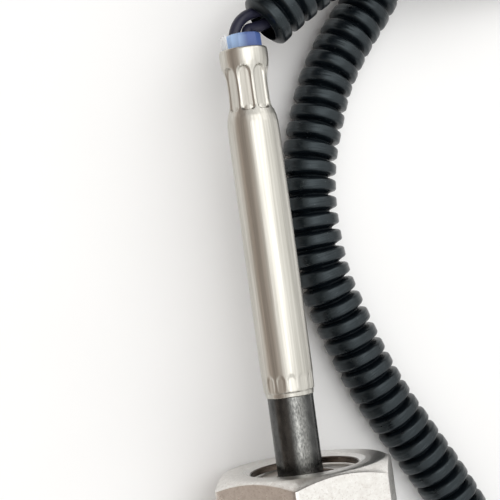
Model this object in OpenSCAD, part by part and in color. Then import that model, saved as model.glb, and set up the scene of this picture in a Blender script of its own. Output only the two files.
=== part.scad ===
// Exhaust gas temperature sensor: sheathed probe with a loose threaded fitting, crimped joint
// sleeve, lead in a corrugated conduit and a two-way sealed plug. The probe lies along Y.

/* [Fitting nut] */
// Hexagon size across flats
nut_af = 22; // [17:1:27]
// Length of the hexagon
hex_len = 9; // [6:0.5:14]
// Outside diameter of the thread
thread_d = 18; // [14:1:22]
// Length from the hexagon to the nose
thread_len = 9; // [6:0.5:16]
// Groove width behind the thread
relief_w = 1.2; // [0.8:0.1:2]
// Groove depth behind the thread
relief_depth = 1.1; // [0.6:0.1:1.5]
// Chamfer height on the thread's first turn
nose_chamfer = 1; // [0.5:0.1:1.5]
// Width of the round recess in the rear face
recess_d = 14.1; // [11:0.1:15]
// Width of the recess at its bevelled mouth
recess_mouth_d = 15.9; // [13:0.1:18]
// Depth of the bevel at the recess's mouth
recess_bevel = 0.3; // [0.2:0.1:1]
// Straight wall of the recess below the bevel
recess_wall = 1; // [0.5:0.1:3]
// Diameter of the hole the probe runs through
nut_bore_d = 7.3; // [6.4:0.1:8]

/* [Probe] */
// Outside diameter of the probe tube
tube_d = 6; // [4:0.5:8]
// Wall of the probe tube
tube_wall = 0.5; // [0.3:0.1:1]
// Tip distance from the nut's rear face
tip_reach = 56.6; // [30:0.1:120]
// Diameter of the drawn-down tip
tip_d = 4.6; // [3:0.1:6]
// Length of the drawn-down tip
tip_len = 12; // [6:1:25]
// Diameter of the stop bead
bead_d = 7.6; // [7:0.1:10]
// Bead distance from the nut's rear face
bead_reach = 31; // [26:0.5:60]
// Diameter of an element lead
element_lead_d = 0.6; // [0.3:0.1:1]

/* [Seat ring] */
// Diameter of the seat ring's flange
seat_flange_d = 14; // [10:0.5:16]
// Thickness of the flange
seat_flange_t = 1.6; // [1:0.1:3]
// Length of the seat ring's cone
seat_cone_len = 3.6; // [2:0.2:8]
// Diameter of the cone's small end
seat_nose_d = 7.8; // [7:0.1:10]

/* [Sleeve] */
// Outside diameter of the joint sleeve
sleeve_d = 6.8; // [5:0.1:10]
// Wall of the joint sleeve
sleeve_wall = 0.4; // [0.3:0.1:1]
// Sleeve's lower end above the nut's rear face
sleeve_start = 9.1; // [8:0.1:30]
// Sleeve's upper end above the nut's rear face
sleeve_end = 54.6; // [40:0.1:90]
// Outside diameter of the crimped neck
neck_d = 5.3; // [4:0.1:8]
// Outside diameter of the end collar
collar_d = 6.4; // [5:0.1:9]
// Distance from the sleeve's upper end down to where it narrows
neck_start = 10.2; // [9:0.1:12]
// Length of the taper into the neck
neck_taper = 3.4; // [2:0.1:5]
// Distance from the sleeve's upper end down to the neck's top
collar_start = 4; // [3:0.1:6]
// Length of the taper out to the end collar
collar_taper = 2.8; // [1.5:0.1:3.5]
// Flats pressed round the neck
neck_flats = 8; // [6:1:12]
// Depth of the neck's flats
crimp_depth = 0.12; // [0.05:0.01:0.2]
// Length of the neck's flats
neck_len = 4.4; // [3:0.1:4.4]
// Flats pressed round the foot
foot_flats = 12; // [6:1:12]
// Length of the foot's flats
foot_len = 2.1; // [1:0.1:4]
// Length of the narrow lip below the foot's flats
foot_lip_len = 0.6; // [0.3:0.1:1]
// Height of the seal above the sleeve
seal_proud = 2; // [0:0.1:4]

/* [Lead] */
// Outside diameter of the corrugated conduit
conduit_d = 7.6; // [5:0.1:12]
// Clear bore of the conduit
conduit_bore_d = 5.2; // [4:0.1:9]
// Diameter of an insulated lead wire
wire_d = 1.5; // [1:0.1:2]

/* [Plug] */
// Width of the plug housing
plug_w = 20; // [14:1:30]
// Height of the plug housing
plug_h = 14; // [10:1:20]
// Length of the plug housing
plug_len = 33; // [24:1:45]
// Depth of the plug's mouth
mouth_depth = 12; // [8:1:18]
// Wall around the plug's mouth
plug_wall = 1.8; // [1:0.1:3]
// Distance between the two terminals
terminal_pitch = 6; // [5:0.5:8]
// Diameter of a contact pin
pin_d = 1.5; // [1:0.1:2.5]

/* [Hidden] */
$fn = 64;
e = 0.1;
// The nut rests on a flat, so its axis is half the size across flats above the table.
nut_z = nut_af / 2;
corner_r = nut_af / (2 * cos(30));
// The probe hangs low and to one side in the nut's bore, and all but touches it.
tube_x = -0.45;
tube_z = nut_z - 0.45;
nose_y = -(hex_len + thread_len);
tube_r = tube_d / 2;
tube_in_r = tube_r - tube_wall;
tip_r = tip_d / 2;
tip_in_r = tip_r - tube_wall;
tip_y = -tip_reach;
tip_top_y = tip_y + tip_len;
swage_len = 2;
tube_top_y = sleeve_start + 7;
core_top_y = tube_top_y - 1.5;
core_end_y = tip_top_y + 3;
cement_end_y = tip_y + 1;
element_lead_x = 0.9;
element_y = tip_y + 3;
element_len = 3;
element_r = 0.9;
seat_clearance = 0.1;
seat_gap = 0.05;
seat_y = nose_y - seat_gap;
neck_foot_y = sleeve_end - neck_start;
neck_low_y = neck_foot_y + neck_taper;
neck_top_y = sleeve_end - collar_start;
collar_y = neck_top_y + collar_taper;
collar_bore_y = collar_y - 0.5;
insulator_y = tube_top_y + 0.6;
insulator_top_y = neck_foot_y + 0.2;
insulator_clearance = 0.15;
splice_y = insulator_y + 4;
splice_len = 7;
splice_r = 1.1;
splice_x = 1.15;
wire_r = wire_d / 2;
wire_x = 0.95;
wire_start_y = splice_y + splice_len - 2;
seal_bottom_y = insulator_top_y;
seal_top_y = sleeve_end + seal_proud;
neck_in_r = neck_d / 2 - sleeve_wall;
collar_in_r = collar_d / 2 - sleeve_wall;
film_t = 0.2;
neck_turn = 14;
neck_y = neck_low_y - 0.5;
foot_edge = foot_lip_len + 0.4;
foot_depth = 0.1;
foot_lip = 0.22;
seal_top_r = collar_in_r - film_t;
plug_x = 30;
plug_z = plug_h / 2;
plug_y = -43;
conduit_end_y = plug_y - 3;
plug_end_y = plug_y - plug_len;
mouth_y = plug_end_y + mouth_depth;
boot_r = conduit_d / 2 + 1.8;
boot_len = 6;
spigot_r = conduit_d / 2 + 0.7;
chamber_y = plug_y - 5;
wire_seal_r = 2;
wire_seal_len = 5;
cavity_y = chamber_y - 8;
contact_r = 1.2;
gasket_t = 1.5;
lock_w = 12;
lock_len = 3;
lock_t = 2;
plug_edge_r = 2.2;
latch_w = 8;
latch_len = 5;
latch_h = 1.4;
rail_w = 1.6;
rail_h = 0.8;
grip_ribs = 5;
grip_pitch = 1.8;

// The conduit's route: middle points, in the order sensor to plug. It lies on the table.
lie_z = conduit_d / 2;
route = [
    [3, 57.9, 10], [7.4, 61, 10.6], [12.8, 64.1, 11.3], [18.8, 66.1, 11.8], [25, 66.7, 12],
    [32, 66.7, 11.3], [39, 66.7, 9.2], [46, 66.7, 6.8], [53, 66.7, 4.8], [60.4, 66.7, 4],
    [75.4, 70.7, lie_z], [86.4, 81.7, lie_z], [90.4, 96.7, lie_z], [86.4, 111.7, lie_z],
    [75.4, 122.7, lie_z], [60.4, 126.7, lie_z], [45.4, 122.7, lie_z], [34.4, 111.7, lie_z],
    [30.4, 96.7, lie_z], [30.4, 81.4, lie_z], [29.4, 74.1, lie_z], [27, 67.8, lie_z],
    [22.9, 61.7, lie_z], [18.2, 56.2, lie_z], [14.4, 50.8, lie_z], [12, 45.4, lie_z],
    [10.1, 40, lie_z], [9.2, 34.4, lie_z], [9.2, 28.8, lie_z], [9.9, 23.2, lie_z],
    [11.7, 17.5, lie_z], [13.8, 11.6, lie_z], [16.5, 5.6, lie_z], [20, -0.6, lie_z],
    [24.2, -7.9, lie_z], [27.7, -15.3, lie_z], [29.5, -23, 4.5],
    [plug_x, -31, 6.4], [plug_x, -36.5, plug_z], [plug_x, conduit_end_y, plug_z]
];
wire_head = [
    [tube_x, wire_start_y, tube_z], [tube_x, seal_top_y + 0.7, tube_z],
    [0.7, 58.3, 10.3], [2.4, 58.5, 10.1]
];
wire_mid = [for (i = [1:len(route) - 1]) route[i]];
wire_tail = [
    [plug_x, conduit_end_y - 0.8, plug_z], [plug_x, chamber_y, plug_z],
    [plug_x, cavity_y - 1, plug_z]
];
wire_route = concat(wire_head, wire_mid, wire_tail);
wire_spread = [
    for (i = [0:len(wire_route) - 1])
        i >= len(wire_route) - 2 ? terminal_pitch / 2 : wire_x
];

function unit(v) = v / norm(v);

// Direction of a path at point i, level with the table for the wire pair's sideways spread.
function heading(p, i) =
    i == 0 ? unit(p[1] - p[0])
    : i == len(p) - 1 ? unit(p[i] - p[i - 1])
    : unit(unit(p[i] - p[i - 1]) + unit(p[i + 1] - p[i]));

function sideways(p, i) = unit(cross(heading(p, i), [0, 0, 1]));

// One ring of a swept tube.
function ring(p, i, r, sides) =
    let (s = sideways(p, i), u = cross(s, heading(p, i)))
    [for (k = [0:sides - 1]) let (a = (k + 0.5) * 360 / sides) p[i] + r * (cos(a) * s + sin(a) * u)];

function shifted(p, off) = [for (i = [0:len(p) - 1]) p[i] + off[i] * sideways(p, i)];

// Solid tube along a list of points.
module swept(p, r, sides) {
    n = len(p);
    pts = [for (i = [0:n - 1]) for (q = ring(p, i, r, sides)) q];
    walls = [
        for (i = [0:n - 2]) for (k = [0:sides - 1])
            [i * sides + k, (i + 1) * sides + k, (i + 1) * sides + (k + 1) % sides,
             i * sides + (k + 1) % sides]
    ];
    first = [for (k = [0:sides - 1]) k];
    last = [for (k = [sides - 1:-1:0]) (n - 1) * sides + k];
    polyhedron(points = pts, faces = concat(walls, [first], [last]), convexity = 10);
}

// Hollow tube along a list of points.
module swept_pipe(p, r, r_in, sides) {
    n = len(p);
    outer = [for (i = [0:n - 1]) for (q = ring(p, i, r, sides)) q];
    inner = [for (i = [0:n - 1]) for (q = ring(p, i, r_in, sides)) q];
    m = n * sides;
    out_walls = [
        for (i = [0:n - 2]) for (k = [0:sides - 1])
            [i * sides + k, (i + 1) * sides + k, (i + 1) * sides + (k + 1) % sides,
             i * sides + (k + 1) % sides]
    ];
    in_walls = [
        for (i = [0:n - 2]) for (k = [0:sides - 1])
            [m + i * sides + (k + 1) % sides, m + (i + 1) * sides + (k + 1) % sides,
             m + (i + 1) * sides + k, m + i * sides + k]
    ];
    end_a = [for (k = [0:sides - 1]) [k, (k + 1) % sides, m + (k + 1) % sides, m + k]];
    b = (n - 1) * sides;
    end_b = [
        for (k = [0:sides - 1])
            [b + (k + 1) % sides, b + k, m + b + k, m + b + (k + 1) % sides]
    ];
    polyhedron(points = concat(outer, inner), faces = concat(out_walls, in_walls, end_a, end_b),
               convexity = 10);
}

// Turned piece on the probe's axis from a list of [radius, y].
module turned(profile) {
    translate([tube_x, 0, tube_z])
        rotate([-90, 0, 0])
            rotate_extrude()
                polygon(profile);
}

// Rod along Y on the probe's axis, moved sideways by x.
module rod(r, y0, y1, x = 0) {
    translate([tube_x + x, y0, tube_z])
        rotate([-90, 0, 0])
            cylinder(r = r, h = y1 - y0);
}

// Rod along Y inside the plug.
module plug_rod(r, y0, y1, x = 0) {
    translate([plug_x + x, y0, plug_z])
        rotate([-90, 0, 0])
            cylinder(r = r, h = y1 - y0);
}

module plug_block(w, y0, y1, h, z = 0, x = 0) {
    translate([plug_x + x - w / 2, y0, plug_z - h / 2 + z])
        cube([w, y1 - y0, h]);
}

module fitting_nut() {
    color([0.78, 0.75, 0.71])
    translate([0, 0, nut_z])
    rotate([-90, 0, 0])
    difference() {
        union() {
            intersection() {
                translate([0, 0, -hex_len])
                    cylinder(r = corner_r, h = hex_len, $fn = 6);
                rotate_extrude()
                    polygon([
                        [0, -hex_len], [nut_af / 2 - 0.3, -hex_len],
                        [corner_r + 0.1, -hex_len + 1.1], [corner_r + 0.1, -1.1],
                        [nut_af / 2 - 0.5, 0], [0, 0]
                    ]);
            }
            rotate_extrude()
                polygon([
                    [0, nose_y], [thread_d / 2 - nose_chamfer, nose_y],
                    [thread_d / 2, nose_y + nose_chamfer], [thread_d / 2, -hex_len - relief_w],
                    [thread_d / 2 - relief_depth, -hex_len - relief_w + 0.4],
                    [thread_d / 2 - relief_depth, -hex_len + e], [0, -hex_len + e]
                ]);
        }
        rotate_extrude()
            polygon([
                [0, nose_y - 1], [nut_bore_d / 2 + 0.4, nose_y - 1], [nut_bore_d / 2 + 0.4, nose_y],
                [nut_bore_d / 2, nose_y + 0.4],
                [nut_bore_d / 2, -recess_bevel - recess_wall],
                [recess_d / 2, -recess_bevel - recess_wall],
                [recess_d / 2, -recess_bevel],
                [recess_mouth_d / 2, 0], [recess_mouth_d / 2, 1], [0, 1]
            ]);
    }
}

module seat_ferrule() {
    color([0.7, 0.68, 0.65])
    turned([
        [tube_r + seat_clearance, seat_y - seat_flange_t - seat_cone_len],
        [seat_nose_d / 2, seat_y - seat_flange_t - seat_cone_len],
        [seat_flange_d / 2 - 1.2, seat_y - seat_flange_t],
        [seat_flange_d / 2, seat_y - seat_flange_t], [seat_flange_d / 2, seat_y],
        [tube_r + seat_clearance, seat_y]
    ]);
}

module probe_tube() {
    color([0.3, 0.29, 0.28])
    turned([
        [0, tip_y], [tip_r - 1.2, tip_y], [tip_r - 0.35, tip_y + 0.35], [tip_r, tip_y + 1.2],
        [tip_r, tip_top_y], [tube_r, tip_top_y + swage_len],
        [tube_r, -bead_reach - 0.9], [bead_d / 2, -bead_reach - 0.4],
        [bead_d / 2, -bead_reach + 0.4], [tube_r, -bead_reach + 0.9],
        [tube_r, tube_top_y], [tube_in_r, tube_top_y],
        [tube_in_r, tip_top_y + swage_len], [tip_in_r, tip_top_y],
        [tip_in_r, cement_end_y], [0, cement_end_y]
    ]);
}

module mineral_core() {
    color([0.93, 0.92, 0.88])
    difference() {
        rod(tube_in_r, core_end_y, core_top_y);
        for (x = [-element_lead_x, element_lead_x])
            rod(element_lead_d / 2, core_end_y - 1, core_top_y + 1, x);
    }
}

// Packing round the element and its leads, in the drawn-down tip.
module tip_cement() {
    color([0.85, 0.82, 0.74])
    difference() {
        turned([
            [0, cement_end_y], [tip_in_r, cement_end_y], [tip_in_r, tip_top_y],
            [tube_in_r, tip_top_y + swage_len], [tube_in_r, core_end_y], [0, core_end_y]
        ]);
        rod(element_r, element_y, element_y + element_len);
        for (x = [-element_lead_x, element_lead_x])
            rod(element_lead_d / 2, element_y + element_len - 1, core_end_y + 1, x);
    }
}

module sensing_element() {
    color([0.95, 0.95, 0.93])
    difference() {
        rod(element_r, element_y, element_y + element_len);
        for (x = [-element_lead_x, element_lead_x])
            rod(element_lead_d / 2, element_y + element_len - 1, element_y + element_len + 1, x);
    }
}

module element_lead(side) {
    color([0.75, 0.74, 0.72])
        rod(element_lead_d / 2, element_y + element_len - 1, splice_y + 2.5, side * element_lead_x);
}

// What pressing takes off all round: a band outside a prism.
module pressed(flats, apothem, turn, y, len) {
    translate([tube_x, y, tube_z])
        rotate([-90, 0, 0])
            difference() {
                cylinder(r = sleeve_d, h = len);
                rotate([0, 0, turn])
                    cylinder(r = apothem / cos(180 / flats), h = len, $fn = flats);
            }
}

// The outer faces are turned, then the neck is pressed flat all round.
module crimp_sleeve() {
    outer_r = sleeve_d / 2;
    neck_r = neck_d / 2;
    collar_r = collar_d / 2;
    color([0.8, 0.77, 0.72])
    difference() {
        turned([
            [tube_r, sleeve_start], [outer_r - foot_lip, sleeve_start],
            [outer_r - foot_lip, sleeve_start + foot_lip_len],
            [outer_r, sleeve_start + foot_lip_len + 0.2],
            [outer_r, neck_foot_y], [outer_r - 0.15, neck_foot_y + 1],
            [neck_r + 0.1, neck_low_y - 0.6], [neck_r, neck_low_y],
            [neck_r, neck_top_y], [neck_r + 0.15, neck_top_y + 0.7],
            [collar_r - 0.1, collar_y - 0.7], [collar_r, collar_y],
            [collar_r, sleeve_end - 0.3], [collar_r - 0.1, sleeve_end],
            [collar_in_r, sleeve_end], [collar_in_r, collar_bore_y],
            [neck_in_r, neck_top_y + 1.1], [neck_in_r, neck_low_y - 0.1],
            [tube_r, neck_foot_y + 0.8]
        ]);
        pressed(neck_flats, neck_r - crimp_depth, neck_turn, neck_y, neck_len);
        for (k = [0:foot_flats - 1])
            translate([tube_x, sleeve_start + foot_edge, tube_z])
                rotate([0, k * 360 / foot_flats + 5, 0])
                    translate([-sleeve_d / 2, 0, outer_r - foot_depth])
                        cube([sleeve_d, foot_len, sleeve_d]);
    }
}

// Two-bore insulator that keeps the joints apart.
module joint_insulator() {
    color([0.9, 0.88, 0.83])
    difference() {
        rod(tube_r - insulator_clearance, insulator_y, insulator_top_y);
        for (x = [-wire_x, wire_x]) {
            rod(wire_r, wire_start_y - 1, insulator_top_y + 1, x);
            rod(splice_r - 0.2, splice_y, splice_y + splice_len, x * splice_x);
            rod(element_lead_d / 2, insulator_y - 1, splice_y + 1, x * element_lead_x / wire_x);
        }
        translate([tube_x - tube_r, splice_y, tube_z - splice_r - 0.1])
            cube([tube_d, splice_len, 2 * splice_r + 0.2]);
    }
}

// Crimped joint between an element lead and a lead wire.
module splice(side) {
    color([0.72, 0.7, 0.66])
    difference() {
        translate([tube_x + side * splice_x, splice_y, tube_z])
            rotate([-90, 0, 0])
                cylinder(r = splice_r - 0.1, h = splice_len);
        rod(element_lead_d / 2, splice_y - 1, splice_y + 2.5, side * element_lead_x);
        rod(wire_r, wire_start_y, splice_y + splice_len + 1, side * wire_x);
    }
}

module cable_seal() {
    color([0.3, 0.42, 0.7])
    difference() {
        turned([
            [0, seal_bottom_y], [tube_r - 0.3, seal_bottom_y], [tube_r - 0.3, neck_foot_y + 1],
            [neck_in_r - 0.02, neck_low_y - 0.2], [neck_in_r - 0.02, neck_top_y + 1],
            [seal_top_r - 0.02, collar_bore_y], [seal_top_r - 0.02, seal_top_y], [0, seal_top_y]
        ]);
        for (x = [-wire_x, wire_x])
            rod(wire_r, seal_bottom_y - 1, seal_top_y + 1, x);
    }
}

// Rolled strip of clear film round the seal, open on its front left.
module liner_film() {
    color([0.88, 0.9, 0.88, 0.6])
    difference() {
        turned([
            [seal_top_r, collar_bore_y + 0.1], [collar_in_r - 0.02, collar_bore_y + 0.1],
            [collar_in_r - 0.02, seal_top_y - 0.1], [seal_top_r, seal_top_y - 0.1]
        ]);
        translate([tube_x, neck_top_y, tube_z])
            rotate([0, -35, 0])
                cube([collar_d, collar_start + 2 * seal_proud, collar_d]);
    }
}

module conduit() {
    color([0.09, 0.1, 0.11])
        swept_pipe(route, conduit_d / 2, conduit_bore_d / 2, 12);
}

// Insulated wire from its splice, through seal and conduit, into its terminal.
module lead_wire(side) {
    color(side > 0 ? [0.75, 0.74, 0.7] : [0.2, 0.2, 0.22])
        swept(shifted(wire_route, side * wire_spread), wire_r - 0.01, 8);
}

// Collar that grips the conduit's end, with a spigot in the plug.
module conduit_boot() {
    color([0.13, 0.13, 0.14])
    difference() {
        union() {
            plug_rod(boot_r, plug_y, plug_y + boot_len / 2);
            plug_rod(boot_r - 0.8, plug_y, plug_y + boot_len);
            for (y = [0.6, 0.8])
                plug_rod(boot_r - 0.3, plug_y + y * boot_len, plug_y + y * boot_len + 0.6);
            plug_rod(spigot_r, conduit_end_y, plug_y + 1);
        }
        plug_rod(conduit_d / 2, conduit_end_y - 1, plug_y + boot_len + 1);
    }
}

// Rounded bar along Y, for the housing's body and its mouth.
module plug_bar(w, y0, y1, h, r) {
    translate([plug_x, y0, plug_z])
        rotate([-90, 0, 0])
            linear_extrude(height = y1 - y0)
                offset(r = r, $fn = 32)
                    square([w - 2 * r, h - 2 * r], center = true);
}

// Ramp that the harness plug's latch snaps over.
module latch_ramp() {
    translate([plug_x - latch_w / 2, plug_end_y + 5, plug_z + plug_h / 2 - e])
        rotate([90, 0, 90])
            linear_extrude(height = latch_w)
                polygon([[0, 0], [latch_len, latch_h + e], [latch_len + 1, latch_h + e],
                         [latch_len + 1, 0]]);
}

module connector_housing() {
    color([0.16, 0.16, 0.17])
    difference() {
        union() {
            plug_bar(plug_w, plug_end_y, plug_y, plug_h, plug_edge_r);
            latch_ramp();
            for (x = [-plug_w / 3, plug_w / 3])
                plug_block(rail_w, plug_end_y + 1, cavity_y - 1, rail_h + 1,
                           plug_h / 2 + rail_h / 2 - 0.5, x);
            for (x = [-plug_w / 2, plug_w / 2])
                for (k = [0:grip_ribs - 1])
                    plug_block(1, plug_y - 3 - k * grip_pitch, plug_y - 2.2 - k * grip_pitch,
                               plug_h / 2, 0, x);
        }
        plug_bar(plug_w - 2 * plug_wall, plug_end_y - 1, mouth_y, plug_h - 2 * plug_wall,
                 plug_edge_r - 1);
        plug_rod(spigot_r, chamber_y, plug_y + 1);
        for (x = [-terminal_pitch / 2, terminal_pitch / 2]) {
            plug_rod(wire_seal_r, cavity_y, chamber_y + 1, x);
            plug_rod(contact_r, mouth_y - 1, cavity_y + 1, x);
        }
        plug_block(lock_w, cavity_y + 2, cavity_y + 2 + lock_len, lock_t + 1, plug_h / 2 - 0.5);
    }
}

module interface_seal() {
    color([0.75, 0.35, 0.2])
    difference() {
        plug_bar(plug_w - 2 * plug_wall, mouth_y - gasket_t, mouth_y, plug_h - 2 * plug_wall,
                 plug_edge_r - 1);
        for (x = [-terminal_pitch / 2, terminal_pitch / 2])
            plug_rod(pin_d / 2, mouth_y - gasket_t - 1, mouth_y + 1, x);
    }
}

// Contact pin with a barrel that holds the wire's end.
module terminal(side) {
    x = side * terminal_pitch / 2;
    color([0.8, 0.74, 0.5])
    difference() {
        union() {
            plug_rod(contact_r, mouth_y, cavity_y, x);
            plug_rod(contact_r + 0.3, cavity_y, cavity_y + 1.5, x);
            plug_rod(pin_d / 2, mouth_y - 8, mouth_y + 1, x);
        }
        plug_rod(wire_r, cavity_y - 1.2, cavity_y + 2, x);
    }
}

module wire_seal(side) {
    x = side * terminal_pitch / 2;
    color([0.75, 0.35, 0.2])
    difference() {
        plug_rod(wire_seal_r, chamber_y - wire_seal_len - 0.5, chamber_y - 0.5, x);
        plug_rod(wire_r, chamber_y - wire_seal_len - 2, chamber_y + 1, x);
    }
}

module terminal_lock() {
    color([0.6, 0.6, 0.58])
        plug_block(lock_w, cavity_y + 2, cavity_y + 2 + lock_len, lock_t + 0.3, plug_h / 2 - 0.85);
}

probe_tube();
mineral_core();
tip_cement();
sensing_element();
element_lead(1);  // element_lead_a
element_lead(-1);  // element_lead_b
seat_ferrule();
fitting_nut();
crimp_sleeve();
joint_insulator();
splice(1);  // splice_a
splice(-1);  // splice_b
lead_wire(1);  // lead_wire_a
lead_wire(-1);  // lead_wire_b
cable_seal();
liner_film();
conduit();
conduit_boot();
connector_housing();
interface_seal();
terminal(1);  // terminal_a
terminal(-1);  // terminal_b
wire_seal(1);  // wire_seal_a
wire_seal(-1);  // wire_seal_b
terminal_lock();
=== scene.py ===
import math

import bmesh
import bpy
import numpy as np
from mathutils import Matrix, Vector


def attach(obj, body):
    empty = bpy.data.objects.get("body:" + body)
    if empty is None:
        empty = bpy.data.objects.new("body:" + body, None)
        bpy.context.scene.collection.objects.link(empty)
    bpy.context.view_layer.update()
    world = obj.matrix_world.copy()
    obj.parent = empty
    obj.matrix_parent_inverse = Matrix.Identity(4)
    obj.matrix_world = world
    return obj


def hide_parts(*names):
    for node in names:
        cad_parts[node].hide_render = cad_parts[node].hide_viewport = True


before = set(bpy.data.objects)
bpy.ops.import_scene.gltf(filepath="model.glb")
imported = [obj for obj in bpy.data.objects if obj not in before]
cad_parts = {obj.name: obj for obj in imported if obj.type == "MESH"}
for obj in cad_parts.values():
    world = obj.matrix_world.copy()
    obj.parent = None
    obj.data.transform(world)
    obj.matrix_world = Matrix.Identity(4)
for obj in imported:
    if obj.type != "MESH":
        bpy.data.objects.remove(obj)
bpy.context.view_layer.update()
mm = 0.001

# The probe lies along Y. Its axis, and the nut's, in millimetres as in the CAD part.
probeX, probeZ = -0.45, 10.55
nutX, nutZ = 0.0, 11.0

cameraShot = {
    "place": (-67.52, 26.81, 168.68),
    "target": (-3.26, 28.58, 10.55),
    "roll": -7.78,  # degrees
    "lens": 94.8,
    "sensor": 36,
    "clipStart": 0.01,  # metres
}


def makeCamera(shot):
    place, target = Vector(shot["place"]), Vector(shot["target"])
    back = (place - target).normalized()
    side = Vector((0, 1, 0)).cross(back).normalized()
    up = back.cross(side)
    turn = math.radians(shot["roll"])
    right = math.cos(turn) * side + math.sin(turn) * up
    top = math.cos(turn) * up - math.sin(turn) * side
    data = bpy.data.cameras.new("camera")
    data.lens = shot["lens"]
    data.sensor_width = shot["sensor"]
    data.clip_start = shot["clipStart"]
    camera = bpy.data.objects.new("camera", data)
    bpy.context.scene.collection.objects.link(camera)
    facing = Matrix((right, top, back)).transposed().to_4x4()
    camera.matrix_world = Matrix.Translation(place * mm) @ facing
    bpy.context.scene.camera = camera


makeCamera(cameraShot)
print("camera made")


# Each material is a base color broken up by noise, with fine relief.
def surface(name, color, second=None, metal=0.0, rough=0.5, roughSpread=0.08, grain=(800, 800, 800),
            relief=0.0, reliefGrain=None, gloss=0.5, blotch=0.5, alpha=1.0, flecksAndHighlight=None,
            highlightBand=None, streaks=None, tint=(1, 1, 1), grooveShine=None):
    # Grain is the noise scale along X, Y and Z per metre. Flecks are small marks in a third color:
    # color, scale, how rare, softness and strength; on some pieces they are real marks, on others
    # a painted highlight. Their band is a middle X and a reach, in millimetres, and is full over the
    # inner 0.3 of the reach; it holds a painted highlight. Streaks is the relief's scale along a swept
    # piece, grooveShine the gloss kept between its ribs, and that dimmer gloss is painted shade.
    made = bpy.data.materials.new(name)
    made.use_nodes = True
    nodes, links = made.node_tree.nodes, made.node_tree.links
    shader = nodes["Principled BSDF"]
    shader.inputs["Metallic"].default_value = metal
    shader.inputs["Specular IOR Level"].default_value = gloss
    shader.inputs["Specular Tint"].default_value = (*tint, 1)
    shader.inputs["Alpha"].default_value = alpha
    place = nodes.new("ShaderNodeTexCoord")

    def noise(scale, detail, source=None):
        stretch = nodes.new("ShaderNodeMapping")
        stretch.inputs["Scale"].default_value = scale
        links.new(source or place.outputs["Object"], stretch.inputs["Vector"])
        cloud = nodes.new("ShaderNodeTexNoise")
        cloud.inputs["Scale"].default_value = 1.0
        cloud.inputs["Detail"].default_value = detail
        links.new(stretch.outputs["Vector"], cloud.inputs["Vector"])
        return cloud.outputs["Fac"]

    cloud = noise(grain, 4.0)
    mix = nodes.new("ShaderNodeMix")
    mix.data_type = "RGBA"
    mix.inputs["A"].default_value = (*color, 1)
    mix.inputs["B"].default_value = (*(second or color), 1)
    spread = nodes.new("ShaderNodeMapRange")
    spread.inputs["From Min"].default_value = 0.5 - blotch / 2
    spread.inputs["From Max"].default_value = 0.5 + blotch / 2
    links.new(cloud, spread.inputs["Value"])
    links.new(spread.outputs["Result"], mix.inputs["Factor"])
    base = mix.outputs["Result"]
    if flecksAndHighlight:
        fleckColor, fleckScale, rare, soft, strength = flecksAndHighlight
        spots = nodes.new("ShaderNodeMapRange")
        spots.inputs["From Min"].default_value = rare
        spots.inputs["From Max"].default_value = rare + soft
        spots.inputs["To Max"].default_value = strength
        links.new(noise(fleckScale, 2.0), spots.inputs["Value"])
        amount = spots.outputs["Result"]
        if highlightBand:
            split, side = nodes.new("ShaderNodeSeparateXYZ"), nodes.new("ShaderNodeMapRange")
            both, away, off = [nodes.new("ShaderNodeMath") for k in range(3)]
            both.operation, away.operation, off.operation = "MULTIPLY", "ABSOLUTE", "SUBTRACT"
            links.new(place.outputs["Object"], split.inputs["Vector"])
            off.inputs[1].default_value = highlightBand[0] * mm
            side.inputs["From Min"].default_value = highlightBand[1] * mm
            side.inputs["From Max"].default_value = highlightBand[1] * 0.3 * mm
            links.new(split.outputs["X"], off.inputs[0])
            links.new(off.outputs["Value"], away.inputs[0])
            links.new(away.outputs["Value"], side.inputs["Value"])
            links.new(amount, both.inputs[0])
            links.new(side.outputs["Result"], both.inputs[1])
            amount = both.outputs["Value"]
        over = nodes.new("ShaderNodeMix")
        over.data_type = "RGBA"
        over.inputs["B"].default_value = (*fleckColor, 1)
        links.new(base, over.inputs["A"])
        links.new(amount, over.inputs["Factor"])
        base = over.outputs["Result"]
    links.new(base, shader.inputs["Base Color"])
    polish = nodes.new("ShaderNodeMapRange")
    polish.inputs["To Min"].default_value = rough - roughSpread
    polish.inputs["To Max"].default_value = rough + roughSpread
    links.new(cloud, polish.inputs["Value"])
    links.new(polish.outputs["Result"], shader.inputs["Roughness"])
    # Where crown is low, between the ribs, the gloss is dimmed as painted shade.
    if grooveShine is not None:
        crown, shine = nodes.new("ShaderNodeAttribute"), nodes.new("ShaderNodeMapRange")
        crown.attribute_name = "crown"
        shine.inputs["To Min"].default_value = gloss * grooveShine
        shine.inputs["To Max"].default_value = gloss
        links.new(crown.outputs["Fac"], shine.inputs["Value"])
        links.new(shine.outputs["Result"], shader.inputs["Specular IOR Level"])
    if relief:
        bump = nodes.new("ShaderNodeBump")
        bump.inputs["Strength"].default_value = 1.0
        bump.inputs["Distance"].default_value = relief * mm
        source = None
        if streaks:
            along, lines = nodes.new("ShaderNodeAttribute"), nodes.new("ShaderNodeVectorMath")
            along.attribute_name = "along"
            lines.operation = "MULTIPLY_ADD"
            lines.inputs[1].default_value = (streaks, 0, 0)
            links.new(along.outputs["Fac"], lines.inputs[0])
            links.new(place.outputs["Object"], lines.inputs[2])
            source = lines.outputs["Vector"]
        links.new(noise(reliefGrain or grain, 3.0, source), bump.inputs["Height"])
        links.new(bump.outputs["Normal"], shader.inputs["Normal"])
    return made


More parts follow.
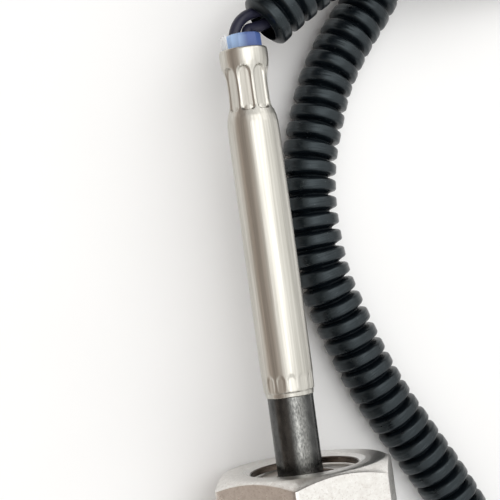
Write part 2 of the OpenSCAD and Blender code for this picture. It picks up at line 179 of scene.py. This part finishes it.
materials = {
    "sleeve": surface("sleeve", (0.66, 0.645, 0.595), (0.47, 0.455, 0.41), metal=1.0, rough=0.34,
                      roughSpread=0.06, grain=(3600, 60, 3600), relief=0.014, blotch=0.45,
                      reliefGrain=(4000, 130, 4000)),
    "fitting": surface("fitting", (0.86, 0.85, 0.82), (0.7, 0.675, 0.64), metal=1.0, rough=0.30,
                       grain=(1700, 1700, 1700), relief=0.02, reliefGrain=(3000, 3000, 3000),
                       flecksAndHighlight=((0.46, 0.41, 0.37), (4200, 4200, 4200), 0.6, 0.05, 0.35)),
    "turned": surface("turned", (0.88, 0.87, 0.84), (0.78, 0.765, 0.74), metal=1.0, rough=0.2,
                      roughSpread=0.04, grain=(900, 6000, 900), relief=0.004,
                      reliefGrain=(1200, 9000, 1200)),
    # A dark material for the recess wall and bore: painted shade.
    "recessShade": surface("recessShade", (0.16, 0.13, 0.11), (0.09, 0.075, 0.065), metal=1.0, rough=0.25,
                         grain=(700, 3000, 700), relief=0.004, reliefGrain=(1200, 9000, 1200)),
    # The pale flecks within their band are a painted highlight running along the sheath.
    "sheath": surface("sheath", (0.12, 0.122, 0.12), (0.05, 0.051, 0.05), metal=1.0, rough=0.27,
                      roughSpread=0.1, grain=(1600, 700, 1600), relief=0.012, blotch=0.55,
                      reliefGrain=(2500, 900, 2500), highlightBand=(-0.8, 1.35),
                      flecksAndHighlight=((0.6, 0.6, 0.57), (6500, 2200, 6500), 0.25, 0.7, 0.8)),
    "seat": surface("seat", (0.6, 0.58, 0.55), (0.5, 0.48, 0.45), metal=1.0, rough=0.3,
                    grain=(600, 3000, 600), relief=0.01),
    "mineral": surface("mineral", (0.86, 0.84, 0.8), (0.78, 0.76, 0.7), rough=0.85, relief=0.02,
                       grain=(2500, 2500, 2500)),
    "element": surface("element", (0.9, 0.9, 0.87), (0.82, 0.82, 0.79), rough=0.6, relief=0.01,
                       grain=(2000, 2000, 2000)),
    "leadMetal": surface("leadMetal", (0.6, 0.59, 0.57), (0.5, 0.49, 0.46), metal=1.0, rough=0.35,
                         grain=(3000, 500, 3000)),
    "insulator": surface("insulator", (0.82, 0.8, 0.74), (0.74, 0.71, 0.65), rough=0.7, relief=0.01,
                         grain=(1500, 1500, 1500)),
    "spliceMetal": surface("spliceMetal", (0.6, 0.58, 0.54), (0.48, 0.46, 0.42), metal=1.0, rough=0.4,
                           grain=(2000, 2000, 2000)),
    "wireLight": surface("wireLight", (0.012, 0.013, 0.03), (0.02, 0.02, 0.045), rough=0.45,
                         grain=(900, 200, 900)),
    "wireDark": surface("wireDark", (0.012, 0.013, 0.03), (0.02, 0.02, 0.045), rough=0.45,
                        grain=(900, 200, 900)),
    # These flecks run together, so within their band the seal is pale on its left: a painted highlight on
    # that side.
    "sealBlue": surface("sealBlue", (0.06, 0.106, 0.29), (0.076, 0.13, 0.345), rough=0.35,
                        roughSpread=0.05, grain=(500, 200, 500), relief=0.008,
                        reliefGrain=(2500, 500, 2500), highlightBand=(-2.9, 2.3),
                        flecksAndHighlight=((0.46, 0.65, 0.96), (300, 300, 300), -0.2, 0.1, 1.0)),
    "film": surface("film", (0.95, 0.97, 0.97), (0.9, 0.93, 0.94), rough=0.25, grain=(400, 400, 400),
                    alpha=0.5),
    # Its gloss is dimmed in the grooves between the ribs: painted shade.
    "conduitBlack": surface("conduitBlack", (0.0016, 0.0028, 0.0042), (0.0045, 0.007, 0.0095), rough=0.3,
                            grain=(700, 700, 700), relief=0.08, reliefGrain=(450, 450, 450),
                            streaks=9.0, tint=(0.8, 0.94, 1.0), grooveShine=0.12,
                            flecksAndHighlight=((0.1, 0.11, 0.115), (3500, 3500, 3500), 0.68, 0.05, 0.35)),
    "bootBlack": surface("bootBlack", (0.018, 0.018, 0.02), (0.028, 0.028, 0.03), rough=0.6,
                         grain=(1500, 1500, 1500), relief=0.01),
    "housingBlack": surface("housingBlack", (0.02, 0.02, 0.022), (0.03, 0.03, 0.032), rough=0.5,
                            grain=(3000, 3000, 3000), relief=0.008),
    "sealRust": surface("sealRust", (0.42, 0.11, 0.04), (0.36, 0.09, 0.035), rough=0.45,
                        grain=(900, 900, 900), relief=0.005),
    "contact": surface("contact", (0.72, 0.58, 0.3), (0.62, 0.5, 0.26), metal=1.0, rough=0.25,
                       grain=(1500, 1500, 1500)),
    "lockGrey": surface("lockGrey", (0.3, 0.3, 0.29), (0.24, 0.24, 0.23), rough=0.5,
                        grain=(2500, 2500, 2500), relief=0.006),
}

nodeMaterials = {
    "probe_tube": "sheath", "mineral_core": "mineral", "tip_cement": "mineral",
    "sensing_element": "element", "element_lead_a": "leadMetal", "element_lead_b": "leadMetal",
    "seat_ferrule": "seat", "fitting_nut": "fitting", "crimp_sleeve": "sleeve",
    "joint_insulator": "insulator", "splice_a": "spliceMetal", "splice_b": "spliceMetal",
    "lead_wire_a": "wireLight", "lead_wire_b": "wireDark", "cable_seal": "sealBlue",
    "liner_film": "film", "conduit": "conduitBlack", "conduit_boot": "bootBlack",
    "connector_housing": "housingBlack", "interface_seal": "sealRust", "terminal_a": "contact",
    "terminal_b": "contact", "wire_seal_a": "sealRust", "wire_seal_b": "sealRust",
    "terminal_lock": "lockGrey",
}
for node, material in nodeMaterials.items():
    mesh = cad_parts[node].data
    mesh.materials.clear()
    mesh.materials.append(materials[material])
print("materials made")


# Shapes are in millimetres until the mesh is written.
def makePiece(name, points, faces, material, smoothAngle=35):
    mesh = bpy.data.meshes.new(name)
    mesh.from_pydata([tuple(p) for p in np.asarray(points) * mm], [], faces)
    cleaner = bmesh.new()
    cleaner.from_mesh(mesh)
    bmesh.ops.recalc_face_normals(cleaner, faces=cleaner.faces)
    cleaner.to_mesh(mesh)
    cleaner.free()
    mesh.shade_smooth()
    mesh.set_sharp_from_angle(angle=math.radians(smoothAngle))
    mesh.materials.append(materials[material])
    piece = bpy.data.objects.new(name, mesh)
    bpy.context.scene.collection.objects.link(piece)
    return piece


# Quads between neighbouring rings of points.
def gridFaces(rows, columns, closedRows=False, closedColumns=True):
    lastRow = rows if closedRows else rows - 1
    lastColumn = columns if closedColumns else columns - 1
    return [
        (i * columns + k, ((i + 1) % rows) * columns + k,
         ((i + 1) % rows) * columns + (k + 1) % columns, i * columns + (k + 1) % columns)
        for i in range(lastRow) for k in range(lastColumn)
    ]


# A closed shell round a line along Y. profile(angle) lists radius and Y, and angle 0 is +X.
def turnedPiece(name, profile, columns, material, axis=(probeX, probeZ), smoothAngle=35):
    angles = np.arange(columns) * 2 * math.pi / columns
    outline = np.array([profile(a) for a in angles])  # columns, rows, 2
    rows = outline.shape[1]
    radius, along = outline[:, :, 0].T, outline[:, :, 1].T
    points = np.stack([axis[0] + radius * np.cos(angles), along, axis[1] + radius * np.sin(angles)], 2)
    return makePiece(name, points.reshape(-1, 3), gridFaces(rows, columns, closedRows=True), material,
                     smoothAngle)


# Evenly spaced points on a smooth curve through the given ones, and how far along each one lies.
def smoothPath(points, step, parts=24):
    p = np.array(points, float)
    p = np.vstack([2 * p[0] - p[1], p, 2 * p[-1] - p[-2]])
    t = np.linspace(0, 1, parts, endpoint=False)[:, None]
    fine = []
    for a, b, c, d in zip(p, p[1:], p[2:], p[3:]):
        fine.append(0.5 * (2 * b + (c - a) * t + (2 * a - 5 * b + 4 * c - d) * t ** 2
                           + (3 * b - a - 3 * c + d) * t ** 3))
    fine = np.vstack(fine + [p[-2:-1]])
    run = np.r_[0, np.cumsum(np.linalg.norm(np.diff(fine, axis=0), axis=1))]
    at = np.linspace(0, run[-1], int(round(run[-1] / step)) + 1)
    return np.stack([np.interp(at, run, fine[:, k]) for k in range(3)], 1), at


# The sideways and upward directions at each point of a path.
def ringFrames(path):
    ahead = np.gradient(path, axis=0)
    ahead /= np.linalg.norm(ahead, axis=1)[:, None]
    side = np.cross(ahead, (0, 0, 1))
    side /= np.linalg.norm(side, axis=1)[:, None]
    return side, np.cross(side, ahead)


def sweptPoints(path, radii, columns):
    side, up = ringFrames(path)
    angles = np.arange(columns) * 2 * math.pi / columns
    ring = np.cos(angles)[None, :, None] * side[:, None] + np.sin(angles)[None, :, None] * up[:, None]
    return path[:, None] + np.broadcast_to(radii, (len(path),))[:, None, None] * ring


# The same points as in the CAD part.
conduitRoute = [
    (3, 57.9, 10), (7.4, 61, 10.6), (12.8, 64.1, 11.3), (18.8, 66.1, 11.8),
    (25, 66.7, 12), (32, 66.7, 11.3), (39, 66.7, 9.2), (46, 66.7, 6.8), (53, 66.7, 4.8),
    (60.4, 66.7, 4), (75.4, 70.7, 3.8), (86.4, 81.7, 3.8), (90.4, 96.7, 3.8),
    (86.4, 111.7, 3.8), (75.4, 122.7, 3.8), (60.4, 126.7, 3.8), (45.4, 122.7, 3.8),
    (34.4, 111.7, 3.8), (30.4, 96.7, 3.8), (30.4, 81.4, 3.8), (29.4, 74.1, 3.8),
    (27, 67.8, 3.8), (22.9, 61.7, 3.8), (18.2, 56.2, 3.8), (14.4, 50.8, 3.8), (12, 45.4, 3.8),
    (10.1, 40, 3.8), (9.2, 34.4, 3.8), (9.2, 28.8, 3.8), (9.9, 23.2, 3.8), (11.7, 17.5, 3.8),
    (13.8, 11.6, 3.8), (16.5, 5.6, 3.8), (20, -0.6, 3.8), (24.2, -7.9, 3.8), (27.7, -15.3, 3.8),
    (29.5, -23, 4.5), (30, -31, 6.4), (30, -36.5, 7), (30, -46, 7),
]
conduit = {"radius": 3.8, "groove": 1.1, "pitch": 2.47, "ringsPerRib": 12, "columns": 40, "wall": 0.45,
           "bore": 2.6, "boreShown": 16, "crownEnd": 0.4, "shoulderWidth": 0.44, "grooveStart": 0.84,
           "roundness": 0.96, "shoulderDrop": 0.8}


# How deep the surface lies over one pitch: 0 on the rib's crown, 1 on the groove's floor.
def ribShape(phase):
    away = np.abs(phase - 0.5) * 2  # 1 in the groove, 0 on the crown
    across = np.clip((away - conduit["crownEnd"]) / conduit["shoulderWidth"], 0, 1)
    shoulder = 1 - np.sqrt(1 - across ** 2 * conduit["roundness"])
    return np.where(away < conduit["grooveStart"], shoulder / conduit["shoulderDrop"], 1.0)


def makeConduit():
    step = conduit["pitch"] / conduit["ringsPerRib"]
    path, at = smoothPath(conduitRoute, step)
    ribs = ribShape((at / conduit["pitch"]) % 1.0)
    outer = sweptPoints(path, conduit["radius"] - conduit["groove"] * ribs, conduit["columns"])
    # The bore follows the ribs inside its open mouth and is closed out of sight.
    deep = int(conduit["boreShown"] / step)
    inside = conduit["radius"] - conduit["groove"] * ribs[:deep] - conduit["wall"]
    inside = np.maximum(inside, conduit["bore"])
    bore = sweptPoints(path[:deep], inside, conduit["columns"])[::-1]
    n = conduit["columns"]
    rings = np.vstack([bore.reshape(-1, 3), outer.reshape(-1, 3)])
    faces = gridFaces(len(rings) // n, n)
    faces += [tuple(range(n))[::-1], tuple(range(len(rings) - n, len(rings)))]
    piece = makePiece("conduitSkin", rings, faces, "conduitBlack", smoothAngle=60)
    along = piece.data.attributes.new("along", "FLOAT", "POINT")
    along.data.foreach_set("value", np.repeat(np.r_[at[:deep][::-1], at], n) * mm)
    # The crown attribute dims the gloss between the ribs, as painted shade.
    crown = piece.data.attributes.new("crown", "FLOAT", "POINT")
    crown.data.foreach_set("value", np.repeat(1 - np.r_[ribs[:deep][::-1], ribs], n))
    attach(piece, "probe")
    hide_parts("conduit")
    return piece, path[::conduit["ringsPerRib"]], at[-1]


conduitSkin, conduitLine, conduitLength = makeConduit()

wire = {"radius": 0.74, "apart": 0.95, "columns": 14, "step": 0.35, "ease": 5,
        "apartInPlug": 3.0, "partFrom": 10.5, "partUntil": 8.5}
wireHead = [(probeX, 29, probeZ), (probeX, 40, probeZ), (probeX, 50, probeZ), (probeX, 57.3, probeZ),
            (0.7, 58.3, 10.3), (2.4, 58.5, 10.1)]
wireTail = [(30, -46.8, 7), (30, -48, 7), (30, -57, 7)]


def makeWire(name, node, sign):
    path, at = smoothPath(wireHead + conduitRoute[1:] + wireTail, wire["step"])
    side = ringFrames(path)[0]
    # The wires part before the plug's two contacts.
    spread = np.interp(at, [0, at[-1] - wire["partFrom"], at[-1] - wire["partUntil"], at[-1]],
                       [wire["apart"]] * 2 + [wire["apartInPlug"]] * 2)
    # The inner wire would pinch in the bend above the seal, so each line is eased a little.
    line = np.pad(path + sign * spread[:, None] * side, ((wire["ease"],) * 2, (0, 0)), mode="edge")
    window = np.ones(2 * wire["ease"] + 1) / (2 * wire["ease"] + 1)
    line = np.stack([np.convolve(line[:, k], window, "valid") for k in range(3)], 1)
    rings = sweptPoints(line, wire["radius"], wire["columns"])
    n = wire["columns"]
    total = len(rings) * n
    faces = gridFaces(len(rings), n) + [tuple(range(n))[::-1], tuple(range(total - n, total))]
    piece = makePiece(name, rings.reshape(-1, 3), faces, "wireDark", smoothAngle=60)
    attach(piece, "probe")
    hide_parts(node)
    return piece


wireA = makeWire("wireA", "lead_wire_a", 1)
wireB = makeWire("wireB", "lead_wire_b", -1)
print("lead made", round(conduitLength, 1))


# The sleeve is pressed flat round its neck and its foot. Its outline lists Y and radius.
sleeve = {
    "outline": [
        (9.1, 3.02), (9.2, 3.12), (9.7, 3.16), (9.85, 3.3), (10.2, 3.34), (11.2, 3.37), (12.8, 3.4),
        (30, 3.4), (43.5, 3.38), (44.9, 3.34), (45.7, 3.22), (46.4, 3.02), (47.1, 2.82), (47.8, 2.73),
        (49, 2.71), (50.2, 2.71), (50.9, 2.76), (51.6, 2.9), (52.2, 3.05), (52.8, 3.15), (53.4, 3.19),
        (54.3, 3.19), (54.55, 3.14), (54.6, 3.06),
    ],
    "bore": [(2.78, 54.6), (2.8, 53), (2.3, 51), (2.3, 48), (3.0, 45.2), (3.0, 9.1)],  # radius and Y
    "flutes": 8, "fluteTurn": 119, "fluteFloor": 2.47, "fluteHalf": 19.5,
    "fluteStart": 46.5, "fluteEnd": 52.2, "squareBelow": 16, "squareAbove": 7,
    "fluteEdge": 3.5, "fluteLift": 0.1, "fluteSoft": 1.3,
    "facets": 14, "facetTurn": 104, "facetFloor": 3.24, "facetTop": 12.2,
    "facetShare": 0.86, "facetRound": 0.6, "facetFade": 0.5, "facetEdge": 0.07, "facetLift": 0.03,
}
# Rows lie close together where the sleeve is pressed.
sleeveRows = np.concatenate([
    np.arange(9.1, 12.6, 0.1), np.arange(12.6, 43.6, 1.6), np.arange(43.6, 54.3, 0.13),
    [54.3, 54.4, 54.5, 54.57, 54.6]])


# The angle to the nearest of some evenly spaced directions, in radians.
def near(angle, turn, count):
    pitch = 2 * math.pi / count
    return (angle - math.radians(turn) + pitch / 2) % pitch - pitch / 2


def sleeveProfile(angle):
    s, along = sleeve, sleeveRows
    radius = np.interp(along, *zip(*s["outline"]))
    # Long flutes round the neck: flat floors with upright ribs left between them.
    off = abs(near(angle, s["fluteTurn"], s["flutes"]))
    half = math.radians(s["fluteHalf"])
    middle, reach = (s["fluteStart"] + s["fluteEnd"]) / 2, (s["fluteEnd"] - s["fluteStart"]) / 2
    endward = np.clip(np.abs(along - middle) / reach, 0, 1)
    square = np.where(along < middle, s["squareBelow"], s["squareAbove"])
    width = half * np.sqrt(np.clip(1 - endward ** square, 0, 1))
    pressed = np.clip((width - off) / math.radians(s["fluteEdge"]), 0, 1)
    floor = s["fluteFloor"] / math.cos(off) + s["fluteLift"] * endward ** 4
    radius = radius - np.clip(radius - floor, 0, None) * pressed ** s["fluteSoft"]
    # Short facets round the foot, each with a rounded top.
    off = abs(near(angle, s["facetTurn"], s["facets"]))
    span = math.pi / s["facets"] * s["facetShare"]
    top = s["facetTop"] - s["facetRound"] * (off / span) ** 2
    pressed = np.clip((top - along) / s["facetFade"], 0, 1) * np.clip((span - off) / s["facetEdge"], 0, 1)
    floor = s["facetFloor"] / math.cos(off) + s["facetLift"]
    radius = radius - np.clip(radius - floor, 0, None) * pressed
    return list(zip(radius, along)) + s["bore"]


sleeveShell = turnedPiece("sleeveShell", sleeveProfile, 224, "sleeve", smoothAngle=50)
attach(sleeveShell, "probe")
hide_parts("crimp_sleeve")
print("sleeve made")


# The wires run through the seal, which is drawn without bores.
seal = {"bottom": 44.6, "top": 56.6, "radius": 2.34, "sides": 12, "sideTurn": 108, "shift": 0.3,
        "footRadius": 2.7, "footTop": 45.4, "neckRadius": 2.24, "neckStart": 47.6, "neckEnd": 51,
        "headStart": 53.1, "headEnd": 56.25, "core": 0.01}


def sealProfile(angle):
    s = seal
    flat = s["radius"] * math.cos(math.pi / s["sides"]) / math.cos(near(angle, s["sideTurn"], s["sides"]))
    # Only the top leans to the right. In the neck the seal stays inside the sleeve.
    flat += s["shift"] * math.cos(angle)
    return [(s["core"], s["bottom"]), (s["footRadius"], s["bottom"]), (s["footRadius"], s["footTop"]),
            (s["neckRadius"], s["neckStart"]), (s["neckRadius"], s["neckEnd"]), (flat, s["headStart"]),
            (flat, s["headEnd"]), (flat - 0.08, 56.5), (flat - 0.25, s["top"]), (s["core"], s["top"])]


sealPlug = turnedPiece("sealPlug", sealProfile, 144, "sealBlue", smoothAngle=12)
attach(sealPlug, "probe")
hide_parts("cable_seal")

film = {"radius": 2.74, "flare": 0.08, "thick": 0.14, "from": 158, "to": 290, "bottom": 53.0,
        "flareStart": 54.4, "top": 56.5, "lean": 0.35, "columns": 60}


# A strip of clear film, rolled part of the way round the seal.
def makeFilm():
    n = film["columns"]
    angles = np.radians(np.linspace(film["from"], film["to"], n))
    low, middle, high = film["bottom"], film["flareStart"], film["top"]
    outer, inner = film["radius"], film["radius"] - film["thick"]
    rings = []
    for radius, y in [(outer, low), (outer, middle), (outer + film["flare"], high),
                      (inner + film["flare"], high), (inner, middle), (inner, low)]:
        # The top edge slants along the strip.
        slant = film["lean"] if y == high else 0
        lean = slant * (angles - angles[0]) / (angles[-1] - angles[0])
        rings.append(np.stack([probeX + radius * np.cos(angles), y - lean,
                               probeZ + radius * np.sin(angles)], 1))
    faces = gridFaces(len(rings), n, closedRows=True, closedColumns=False)
    for k in (0, n - 1):
        faces += [(k, k + n, k + 4 * n, k + 5 * n), (k + n, k + 2 * n, k + 3 * n, k + 4 * n)]
    return makePiece("filmStrip", np.vstack(rings), faces, "film", smoothAngle=40)


filmStrip = makeFilm()
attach(filmStrip, "probe")
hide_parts("liner_film")
print("seal made")


tube = {"radius": 3.0, "bore": 2.5, "top": 16.1, "tip": -56.6, "tipRadius": 2.3, "tipStart": -44.6,
        "tipBore": 1.8, "tipWall": 1, "domeHeight": 1.4, "bead": -31.0, "beadRadius": 3.8,
        "beadHalf": 0.9, "core": 0.01}


def tubeProfile(angle):
    t = tube
    dome = [(t["core"], t["tip"])] + [
        (t["tipRadius"] * math.sin(a), t["tip"] + t["domeHeight"] * (1 - math.cos(a)))
        for a in np.radians(np.arange(10, 91, 10))]
    swage = [(t["tipRadius"], t["tipStart"] - 0.3), (t["tipRadius"] + 0.06, t["tipStart"]),
             (t["radius"] - 0.06, t["tipStart"] + 2), (t["radius"], t["tipStart"] + 2.3)]
    rise = t["beadRadius"] - t["radius"]
    bead = [(t["radius"] + rise * math.cos(a), t["bead"] + t["beadHalf"] * math.sin(a))
            for a in np.radians(np.arange(-90, 91, 15))]
    bottom = t["tip"] + t["tipWall"]
    return dome + swage + bead + [(t["radius"], -20), (t["radius"], -5), (t["radius"], t["top"]),
                                  (t["bore"], t["top"]), (t["bore"], t["tipStart"] + 2),
                                  (t["tipBore"], t["tipStart"]), (t["tipBore"], bottom),
                                  (t["core"], bottom)]


probeSheath = turnedPiece("probeSheath", tubeProfile, 96, "sheath")
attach(probeSheath, "probe")
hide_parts("probe_tube")

nut = {"acrossFlats": 22.0, "hexLength": 9.0, "chamferAngle": 30, "chamferRadius": 10.6,
       "frontChamferRadius": 10.7, "corner": 12.62, "thread": 9.0, "pitch": 1.5, "threadDepth": 0.92,
       "threadLength": 9.0, "threadRows": 0.12, "threadFade": 0.8, "relief": 7.9, "reliefLength": 1.0,
       "noseChamfer": 1.0, "recess": 7.05, "recessMouth": 7.95, "recessBevel": 0.3, "recessWall": 1.0,
       "bore": 3.65}


def nutProfile(angle):
    n = nut
    off = near(angle, 30, 6)  # flats up and down, corners to the sides
    flat = min(n["acrossFlats"] / 2 / math.cos(off), n["corner"])
    slope = math.tan(math.radians(n["chamferAngle"]))
    drop = (flat - n["chamferRadius"]) * slope
    dropFront = (flat - n["frontChamferRadius"]) * slope
    bevel = n["recessBevel"]
    floor = -bevel - n["recessWall"]
    rear = [
        (n["bore"], -12), (n["bore"], floor - 0.25), (n["bore"] + 0.25, floor),
        (n["recess"] - 0.15, floor), (n["recess"], floor + 0.15), (n["recess"], -bevel - 0.12),
        (n["recess"] + 0.12, -bevel), (n["recessMouth"] - 0.1, -0.05), (n["recessMouth"] + 0.08, 0),
        (n["chamferRadius"] - 0.1, 0), (n["chamferRadius"] + 0.1, -0.08),
        (flat - 0.06, -drop), (flat, -drop - 0.07)]
    front = [
        (flat, -n["hexLength"] + dropFront + 0.07), (flat - 0.06, -n["hexLength"] + dropFront),
        (n["frontChamferRadius"], -n["hexLength"]), (n["relief"] + 0.2, -n["hexLength"]),
        (n["relief"], -n["hexLength"] - 0.2), (n["relief"], -n["hexLength"] - n["reliefLength"])]
    nose = -n["hexLength"] - n["threadLength"]
    thread = []
    for y in np.arange(-n["hexLength"] - 1.1, nose + 0.05, -n["threadRows"]):
        phase = (y / n["pitch"] - angle / (2 * math.pi)) % 1.0
        # Clipping leaves narrow flats at crest and root.
        ridge = np.clip(1.16 * (1 - abs(2 * phase - 1)) / 0.88 - 0.08, 0, 1)
        fade = min(1, (-n["hexLength"] - n["reliefLength"] - y) / n["threadFade"])
        taper = min(n["thread"], n["thread"] - n["noseChamfer"] + (y - nose))
        radius = min(n["thread"] - n["threadDepth"] * (1 - ridge), taper)
        thread.append((n["relief"] + (radius - n["relief"]) * fade, y))
    end = [(n["thread"] - 1.1, nose), (n["bore"] + 0.4, nose), (n["bore"], nose + 0.4)]
    return rear + front + thread + end


nutBody = turnedPiece("nutBody", nutProfile, 264, "fitting", axis=(nutX, nutZ), smoothAngle=28)
# The recess has a turned bevel, a wall and bore darkened as painted shade, and its floor is like the
# hexagon.
nutBody.data.materials.append(materials["turned"])
nutBody.data.materials.append(materials["recessShade"])
asHexagon, asTurned, asRecessShade = range(3)
for face in nutBody.data.polygons:
    spot = face.center / mm
    away = math.hypot(spot.x - nutX, spot.z - nutZ)
    if spot.y > -4 and away < nut["recessMouth"] + 0.02:
        wall = away > nut["recess"] - 0.05 and spot.y < -nut["recessBevel"]
        floor = spot.y < -nut["recessBevel"] - nut["recessWall"] + 0.1
        face.material_index = (asRecessShade if wall or away < nut["bore"] + 0.2
                               else asHexagon if floor else asTurned)
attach(nutBody, "fitting")
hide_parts("fitting_nut")


# A loose ring with a cone in front. Its outline lists radius and Y.
seat = {
    "outline": [
        (3.1, -23.25), (3.3, -23.25), (3.8, -23.25), (3.9, -23.15), (5.75, -19.7), (6.7, -19.65),
        (6.95, -19.55), (7.0, -19.3), (7.0, -18.25), (6.85, -18.07), (6.6, -18.05), (3.1, -18.05),
    ],
}


def seatProfile(angle):
    return seat["outline"]


seatRing = turnedPiece("seatRing", seatProfile, 96, "seat")
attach(seatRing, "seat")
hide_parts("seat_ferrule")
print("probe and nut made")


# Floor and lamps, in metres.
stage = {
    "floorSize": 6, "paper": (0.93, 0.93, 0.93), "paperSecond": (0.91, 0.91, 0.91),
    "brown": (0.46, 0.38, 0.33), "brownFrom": -0.022, "brownFull": -0.045,
    "lampTarget": (0, 0.03, 0),
    "lamps": {
        "skyPanel": {"place": (-0.1, 0.15, 0.8), "size": (0.6, 0.6), "power": 1.5},
        "rightPanel": {"place": (0.4, 0.4, 0.55), "size": (0.4, 0.6), "power": 0.6},
    },
}


def makeStage():
    bpy.ops.mesh.primitive_plane_add(size=stage["floorSize"], location=(0, 0, 0))
    floor = bpy.context.object
    floor.name = "floor"
    paper = surface("paper", stage["paper"], stage["paperSecond"], rough=0.9, grain=(40, 40, 40))
    # Out of view on the left, mirrors see the floor brown.
    nodes, links = paper.node_tree.nodes, paper.node_tree.links
    shader = nodes["Principled BSDF"]
    plain = shader.inputs["Base Color"].links[0].from_socket
    place, split = nodes.new("ShaderNodeTexCoord"), nodes.new("ShaderNodeSeparateXYZ")
    links.new(place.outputs["Object"], split.inputs["Vector"])
    left = nodes.new("ShaderNodeMapRange")
    left.inputs["From Min"].default_value = stage["brownFrom"]
    left.inputs["From Max"].default_value = stage["brownFull"]
    links.new(split.outputs["X"], left.inputs["Value"])
    both, kind = nodes.new("ShaderNodeMath"), nodes.new("ShaderNodeLightPath")
    both.operation = "MULTIPLY"
    links.new(left.outputs["Result"], both.inputs[0])
    links.new(kind.outputs["Is Glossy Ray"], both.inputs[1])
    brown = nodes.new("ShaderNodeMix")
    brown.data_type = "RGBA"
    brown.inputs["B"].default_value = (*stage["brown"], 1)
    links.new(both.outputs["Value"], brown.inputs["Factor"])
    links.new(plain, brown.inputs["A"])
    links.new(brown.outputs["Result"], shader.inputs["Base Color"])
    floor.data.materials.append(paper)
    for name, shown in stage["lamps"].items():
        data = bpy.data.lights.new(name, "AREA")
        data.shape = "RECTANGLE"
        data.size, data.size_y = shown["size"]
        data.energy = shown["power"]
        lamp = bpy.data.objects.new(name, data)
        bpy.context.scene.collection.objects.link(lamp)
        lamp.location = shown["place"]
        toward = Vector(stage["lampTarget"]) - Vector(shown["place"])
        lamp.rotation_euler = toward.to_track_quat("-Z", "Y").to_euler()


# The room is pale overhead and dark brown low on the left, where the sleeve mirrors it as a streak.
room = {"pale": (1.0, 0.995, 0.98), "dark": (0.42, 0.36, 0.32), "strength": 1.1,
        "darkUntil": -0.72, "paleFrom": -0.5, "horizon": 0.38, "paleHeight": 0.5,
        "backFrom": 0.62, "backUntil": 0.8, "back": (0.07, 0.06, 0.055)}


def makeRoom():
    world = bpy.data.worlds.new("world")
    world.use_nodes = True
    nodes, links = world.node_tree.nodes, world.node_tree.links
    shade = nodes["Background"]
    way = nodes.new("ShaderNodeTexCoord")
    parts = nodes.new("ShaderNodeSeparateXYZ")
    links.new(way.outputs["Generated"], parts.inputs["Vector"])
    across = nodes.new("ShaderNodeMapRange")
    across.interpolation_type = "SMOOTHSTEP"
    across.inputs["From Min"].default_value = room["darkUntil"]
    across.inputs["From Max"].default_value = room["paleFrom"]
    links.new(parts.outputs["X"], across.inputs["Value"])
    height = nodes.new("ShaderNodeMapRange")
    height.inputs["From Max"].default_value = room["paleHeight"]
    height.inputs["To Min"].default_value = room["horizon"] * room["strength"]
    height.inputs["To Max"].default_value = room["strength"]
    links.new(parts.outputs["Z"], height.inputs["Value"])
    mix = nodes.new("ShaderNodeMix")
    mix.data_type = "RGBA"
    mix.inputs["A"].default_value = (*room["dark"], 1)
    mix.inputs["B"].default_value = (*room["pale"], 1)
    links.new(across.outputs["Result"], mix.inputs["Factor"])
    behind = nodes.new("ShaderNodeMapRange")
    behind.interpolation_type = "SMOOTHSTEP"
    behind.inputs["From Min"].default_value = room["backFrom"]
    behind.inputs["From Max"].default_value = room["backUntil"]
    links.new(parts.outputs["Y"], behind.inputs["Value"])
    wall = nodes.new("ShaderNodeMix")
    wall.data_type = "RGBA"
    wall.inputs["B"].default_value = (*room["back"], 1)
    links.new(mix.outputs["Result"], wall.inputs["A"])
    links.new(behind.outputs["Result"], wall.inputs["Factor"])
    links.new(wall.outputs["Result"], shade.inputs["Color"])
    links.new(height.outputs["Result"], shade.inputs["Strength"])
    bpy.context.scene.world = world


makeRoom()
makeStage()
bpy.context.scene.view_settings.view_transform = "Standard"
print("stage made")
